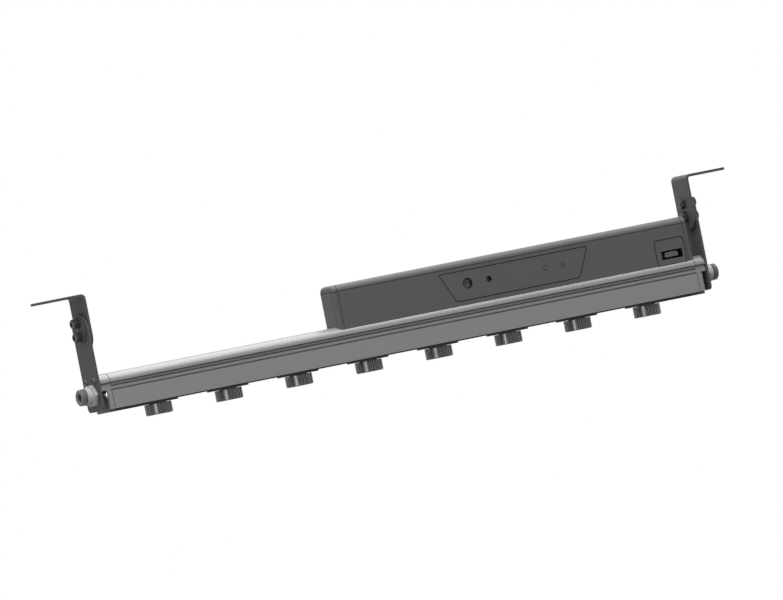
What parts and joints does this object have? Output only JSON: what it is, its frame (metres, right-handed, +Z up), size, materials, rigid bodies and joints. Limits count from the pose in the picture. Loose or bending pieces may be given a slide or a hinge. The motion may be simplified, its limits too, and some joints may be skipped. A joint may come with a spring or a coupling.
{
  "type": "ionizing bar",
  "caption": "Bar-type static eliminator: an air bar with a row of electrode cartridges below, a control box on its crown, an air fitting at each end and two L-brackets.",
  "frame": {"origin": "middle of the bar, on the plane of the cartridges' outlet faces", "axes": "+X along the bar, towards the end with the control box; the front, with the control panel, faces -Y; +Z up, towards the brackets' flanges"},
  "size_m": [0.586, 0.024, 0.0985],
  "materials": {
    "bar_aluminium": "satin anodized",
    "cap_plastic": "satin",
    "black_plastic": "satin",
    "cartridge_plastic": "satin",
    "tinned_contact": "tinned",
    "duct_plastic": "moulded",
    "contact_brass": "bare",
    "seal_rubber": "matt",
    "steel_screw": "zinc plated",
    "dark_screw": "blackened",
    "bracket_steel": "satin powder coat",
    "fitting_plastic": "semi-gloss",
    "ring_plastic": "satin",
    "box_plastic": "fine texture",
    "label_plastic": "smooth film",
    "board_laminate": "solder mask",
    "component_black": "moulded",
    "lens_plastic": "clear-grey",
    "socket_plastic": "moulded",
    "tongue_plastic": "moulded",
    "needle_steel": "ground",
    "control_plastic": "moulded"
  },
  "bodies": {
    "bar": {"bar_profile": "bar_aluminium", "end_cap_left": "cap_plastic", "end_cap_right": "cap_plastic", "socket_rail": "black_plastic", "box_base": "black_plastic", "air_duct": "duct_plastic", "high_voltage_comb": "contact_brass", "contact_buttons": "contact_brass", "high_voltage_feed": "contact_brass", "socket_contacts": "tinned_contact", "socket_seals": "seal_rubber", "fitting_seals": "seal_rubber", "cap_screws": "steel_screw", "base_screws": "steel_screw", "plate_screws": "dark_screw", "end_plate_left": "bracket_steel", "end_plate_right": "bracket_steel", "fitting_left": "fitting_plastic", "fitting_right": "fitting_plastic", "box_cover": "box_plastic", "box_end_left": "box_plastic", "box_end_right": "box_plastic", "socket_plate": "box_plastic", "label_panel": "label_plastic", "circuit_board": "board_laminate", "board_parts": "component_black", "high_voltage_module": "component_black", "status_lenses": "lens_plastic", "power_socket": "socket_plastic", "socket_tongue": "tongue_plastic"},
    "bracket_left": {"bracket_left": "bracket_steel", "bracket_screws_left": "dark_screw", "bracket_washers_left": "dark_screw", "bracket_nuts_left": "dark_screw", "clamp_disc_left": "bracket_steel"},
    "bracket_right": {"bracket_right": "bracket_steel", "bracket_screws_right": "dark_screw", "bracket_washers_right": "dark_screw", "bracket_nuts_right": "dark_screw", "clamp_disc_right": "bracket_steel"},
    "cartridge_1": {"cartridge_1": "cartridge_plastic", "needle_1": "needle_steel"},
    "cartridge_2": {"cartridge_2": "cartridge_plastic", "needle_2": "needle_steel"},
    "cartridge_3": {"cartridge_3": "cartridge_plastic", "needle_3": "needle_steel"},
    "cartridge_4": {"cartridge_4": "cartridge_plastic", "needle_4": "needle_steel"},
    "cartridge_5": {"cartridge_5": "cartridge_plastic", "needle_5": "needle_steel"},
    "cartridge_6": {"cartridge_6": "cartridge_plastic", "needle_6": "needle_steel"},
    "cartridge_7": {"cartridge_7": "cartridge_plastic", "needle_7": "needle_steel"},
    "cartridge_8": {"cartridge_8": "cartridge_plastic", "needle_8": "needle_steel"},
    "release_ring_left": {"release_ring_left": "ring_plastic"},
    "release_ring_right": {"release_ring_right": "ring_plastic"},
    "mode_selector": {"mode_selector": "control_plastic"},
    "balance_trimmer": {"balance_trimmer": "control_plastic"}
  },
  "joints": [
    {"name": "bracket_left_tilt", "type": "hinge", "parent": "bar", "child": "bracket_left", "pos_m": [-0.26, 0, 0.0725], "axis": [1, 0, 0], "range_deg": [-45, 45]},
    {"name": "bracket_right_tilt", "type": "hinge", "parent": "bar", "child": "bracket_right", "pos_m": [0.26, 0, 0.0725], "axis": [1, 0, 0], "range_deg": [-45, 45]},
    {"name": "cartridge_1_turn", "type": "hinge", "parent": "bar", "child": "cartridge_1", "pos_m": [-0.21, 0, 0], "axis": [0, 0, -1], "range_deg": [0, 90]},
    {"name": "cartridge_2_turn", "type": "hinge", "parent": "bar", "child": "cartridge_2", "pos_m": [-0.15, 0, 0], "axis": [0, 0, -1], "range_deg": [0, 90]},
    {"name": "cartridge_3_turn", "type": "hinge", "parent": "bar", "child": "cartridge_3", "pos_m": [-0.09, 0, 0], "axis": [0, 0, -1], "range_deg": [0, 90]},
    {"name": "cartridge_4_turn", "type": "hinge", "parent": "bar", "child": "cartridge_4", "pos_m": [-0.03, 0, 0], "axis": [0, 0, -1], "range_deg": [0, 90]},
    {"name": "cartridge_5_turn", "type": "hinge", "parent": "bar", "child": "cartridge_5", "pos_m": [0.03, 0, 0], "axis": [0, 0, -1], "range_deg": [0, 90]},
    {"name": "cartridge_6_turn", "type": "hinge", "parent": "bar", "child": "cartridge_6", "pos_m": [0.09, 0, 0], "axis": [0, 0, -1], "range_deg": [0, 90]},
    {"name": "cartridge_7_turn", "type": "hinge", "parent": "bar", "child": "cartridge_7", "pos_m": [0.15, 0, 0], "axis": [0, 0, -1], "range_deg": [0, 90]},
    {"name": "cartridge_8_turn", "type": "hinge", "parent": "bar", "child": "cartridge_8", "pos_m": [0.21, 0, 0], "axis": [0, 0, -1], "range_deg": [0, 90]},
    {"name": "release_ring_left_push", "type": "slide", "parent": "bar", "child": "release_ring_left", "axis": [1, 0, 0], "range_m": [0, 0.001], "stiffness_N_per_m": 1000, "springref_m": -0.001},
    {"name": "release_ring_right_push", "type": "slide", "parent": "bar", "child": "release_ring_right", "axis": [-1, 0, 0], "range_m": [0, 0.001], "stiffness_N_per_m": 1000, "springref_m": -0.001},
    {"name": "mode_selector_turn", "type": "hinge", "parent": "bar", "child": "mode_selector", "pos_m": [0.05965, -0.008, 0.0507], "axis": [0, 1, 0], "continuous": true},
    {"name": "balance_trimmer_turn", "type": "hinge", "parent": "bar", "child": "balance_trimmer", "pos_m": [0.07805, -0.008, 0.0507], "axis": [0, 1, 0], "range_deg": [-135, 135]}
  ]
}
